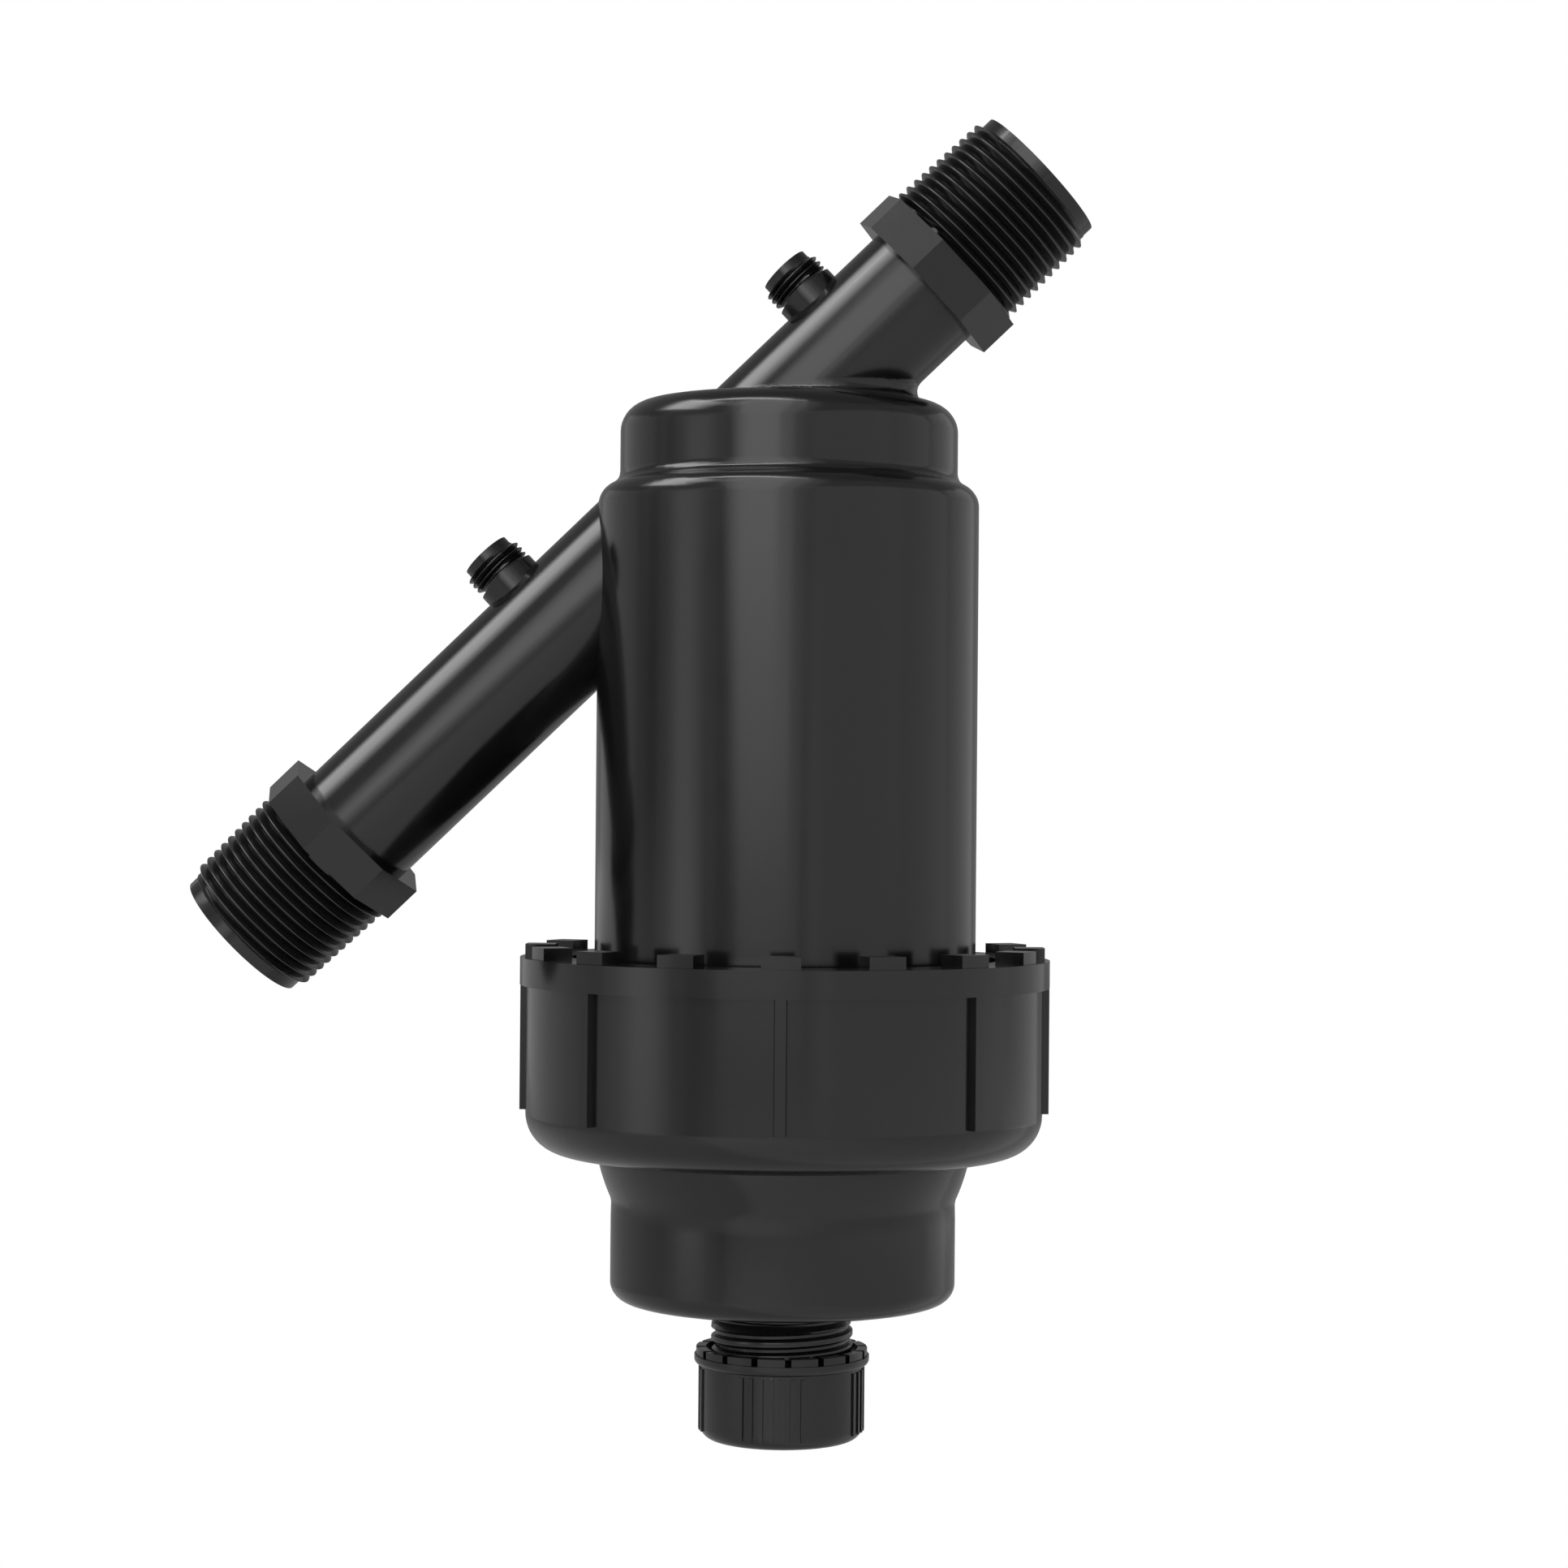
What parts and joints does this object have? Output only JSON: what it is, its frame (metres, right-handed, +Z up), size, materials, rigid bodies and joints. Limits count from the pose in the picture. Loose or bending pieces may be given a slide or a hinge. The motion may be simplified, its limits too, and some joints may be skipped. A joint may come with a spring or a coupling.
{
  "type": "inline disc filter",
  "caption": "black plastic disc filter for a drip irrigation line, with taper threaded ends, gauge ports, a screwed bowl and a drain cap",
  "frame": {"origin": "middle of the inlet's open end, on the line's axis", "axes": "+Z is up along the housing's axis, +X is the level way from the inlet to the outlet, and the line rises from the inlet in the XZ plane"},
  "size_m": [0.1852, 0.1082, 0.2707],
  "materials": {
    "housing_plastic": "smooth moulded black plastic",
    "nut_plastic": "smooth moulded black plastic",
    "bowl_plastic": "smooth moulded black plastic",
    "cap_plastic": "knurled moulded black plastic",
    "core_plastic": "smooth moulded dark grey plastic",
    "disc_plastic": "finely grooved red plastic discs",
    "seal_rubber": "smooth black rubber"
  },
  "bodies": {
    "housing_body": {"housing": "housing_plastic"},
    "bowl_body": {"bowl": "bowl_plastic", "bowl_seal": "seal_rubber", "disc_core": "core_plastic", "disc_stack": "disc_plastic", "pressure_plate": "core_plastic", "hand_nut": "core_plastic", "nozzle_seal": "seal_rubber"},
    "nut_body": {"union_nut": "nut_plastic"},
    "drain_seal_body": {"drain_seal": "seal_rubber"},
    "drain_cap_body": {"drain_cap": "cap_plastic"}
  },
  "joints": [
    {"name": "bowl_draw", "type": "slide", "parent": "housing_body", "child": "bowl_body", "axis": [0, 0, -1], "range_m": [0, 0.14]},
    {"name": "nut_turn", "type": "hinge", "parent": "bowl_body", "child": "nut_body", "pos_m": [0.11336, 0, -0.00327], "axis": [0, 0, -1], "range_deg": [0, 720]},
    {"name": "cap_draw", "type": "slide", "parent": "bowl_body", "child": "drain_seal_body", "axis": [0, 0, -1], "range_m": [0, 0.0149]},
    {"name": "cap_turn", "type": "hinge", "parent": "drain_seal_body", "child": "drain_cap_body", "pos_m": [0.11336, 0, -0.10087], "axis": [0, 0, -1], "range_deg": [0, 1987]}
  ],
  "couplings": [
    {"joint": "cap_turn", "follows": "cap_draw", "rad_per_m": 2327.1}
  ]
}
